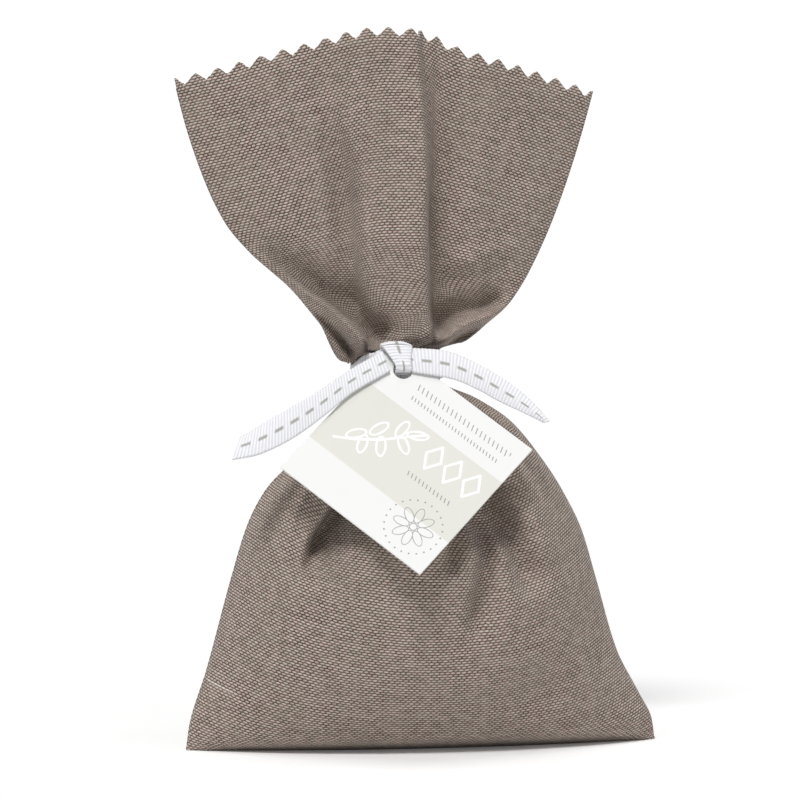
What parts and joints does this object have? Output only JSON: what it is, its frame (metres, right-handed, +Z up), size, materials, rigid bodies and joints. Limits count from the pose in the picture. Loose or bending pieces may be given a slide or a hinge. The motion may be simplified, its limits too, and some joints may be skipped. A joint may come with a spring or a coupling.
{
  "type": "scented sachet",
  "caption": "Standing cloth pouch of scented granules, gathered and tied at the neck with a ribbon that carries a square card tag, below a pinked flare.",
  "frame": {"origin": "on the floor under the middle of the pouch's base", "axes": "+Z up out of the pouch's mouth, -Y out of the front where the tag hangs, +X along the base to the right as seen from the front"},
  "size_m": [0.113, 0.0679, 0.1662],
  "materials": {
    "linen": "coarse plain-weave taupe linen",
    "seam": "seam allowance of the same linen",
    "fleece": "thin non-woven inner bag",
    "granules": "scented granules",
    "ribbon": "white grosgrain ribbon with a grey stitch line",
    "card": "smooth white card with a pale grey band"
  },
  "bodies": {
    "pouch": {"front_panel": "linen", "back_panel": "linen", "side_seam_left": "seam", "side_seam_right": "seam", "base_seam": "seam", "inner_bag": "fleece", "scented_fill": "granules", "ribbon_neck_band": "ribbon", "ribbon_knot": "ribbon"},
    "ribbon_front": {"ribbon_tag_loop": "ribbon"},
    "tag": {"tag_card": "card"},
    "tail_left": {"ribbon_tail_left": "ribbon"},
    "tail_right": {"ribbon_tail_right": "ribbon"}
  },
  "joints": [
    {"name": "tag_lift", "type": "hinge", "parent": "pouch", "child": "ribbon_front", "pos_m": [-0.00689, -0.01165, 0.09382], "axis": [-0.9936, 0.1132, 0], "range_deg": [0, 100]},
    {"name": "tag_swing", "type": "hinge", "parent": "ribbon_front", "child": "tag", "pos_m": [-0.0072, -0.0144, 0.0879], "axis": [-0.0994, -0.8724, 0.4785], "range_deg": [-25, 25]},
    {"name": "tail_left_lift", "type": "hinge", "parent": "ribbon_front", "child": "tail_left", "pos_m": [-0.01226, -0.01381, 0.0896], "axis": [0.0994, 0.8724, -0.4785], "range_deg": [0, 45]},
    {"name": "tail_right_lift", "type": "hinge", "parent": "ribbon_front", "child": "tail_right", "pos_m": [-0.00213, -0.01496, 0.0896], "axis": [-0.0994, -0.8724, 0.4785], "range_deg": [0, 45]}
  ]
}
